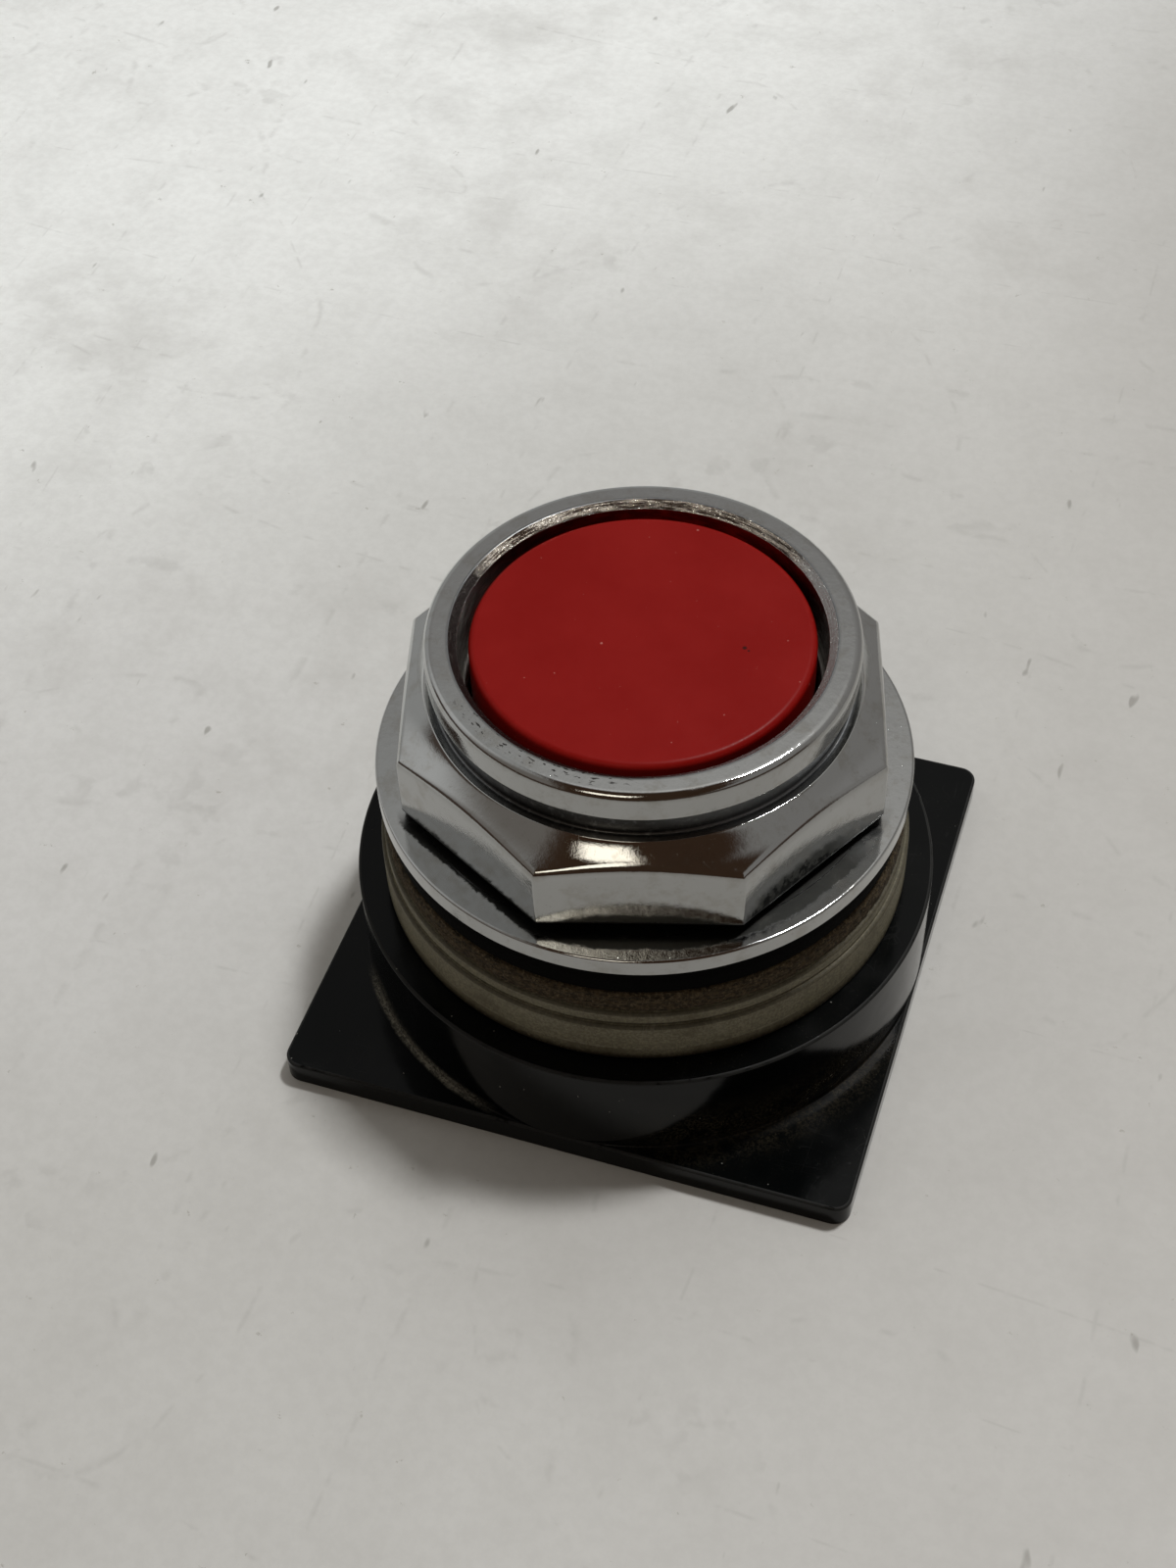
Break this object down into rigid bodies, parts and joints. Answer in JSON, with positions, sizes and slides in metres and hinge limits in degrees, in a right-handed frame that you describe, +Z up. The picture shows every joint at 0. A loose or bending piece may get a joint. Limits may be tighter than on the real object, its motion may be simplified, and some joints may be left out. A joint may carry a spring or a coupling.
{
  "type": "pushbutton operator head",
  "caption": "Flush red stop pushbutton for a 30.5 mm panel hole: black square base, threaded barrel, spacers, gaskets, chromed washer and ring nut.",
  "frame": {"origin": "centre of the square base's underside, on the button's axis", "axes": "+Z up along the button's axis, out of the panel; X and Y along the sides of the square base"},
  "size_m": [0.0442, 0.0442, 0.0336],
  "materials": {
    "black_moulding": "glossy black phenolic moulding, lightly scuffed",
    "red_moulding": "satin red moulding",
    "chrome_plate": "bright chrome plating with light stains",
    "black_rubber": "smooth black rubber",
    "brown_fibre": "rough pressed fibre",
    "natural_nylon": "satin natural nylon",
    "white_nylon": "satin white nylon",
    "die_cast_metal": "dull die-cast zinc",
    "brass": "turned brass",
    "steel": "zinc-plated steel"
  },
  "bodies": {
    "base": {"housing": "black_moulding", "contact_block_inserts": "brass", "threaded_bushing": "die_cast_metal", "guide_bush": "brass", "stem_o_ring": "black_rubber", "thick_spacer": "natural_nylon", "thin_spacer": "natural_nylon", "fibre_gasket": "brown_fibre", "rubber_gasket": "black_rubber", "wiper_seal": "black_rubber", "dust_boot": "black_rubber", "spring_seat": "steel", "return_spring": "steel"},
    "washer": {"trim_washer": "chrome_plate"},
    "ring_nut": {"ring_nut": "chrome_plate"},
    "button": {"button_cap": "red_moulding", "cap_insert": "brass", "jam_nut": "steel", "plunger_stem": "steel", "actuator_disc": "white_nylon", "disc_clip": "steel"}
  },
  "joints": [
    {"name": "button_press", "type": "slide", "parent": "base", "child": "button", "axis": [0, 0, 1], "range_m": [-0.0055, 0], "stiffness_N_per_m": 900, "springref_m": 0.004, "deforming": ["return_spring", "dust_boot"]},
    {"name": "clamp_lift", "type": "slide", "parent": "base", "child": "washer", "axis": [0, 0, 1], "range_m": [0, 0.006]},
    {"name": "nut_turn", "type": "hinge", "parent": "washer", "child": "ring_nut", "pos_m": [0, 0, 0.02155], "axis": [0, 0, 1], "range_deg": [0, 1440]}
  ],
  "couplings": [
    {"joint": "clamp_lift", "follows": "nut_turn", "m_per_rad": 0.00023873}
  ]
}
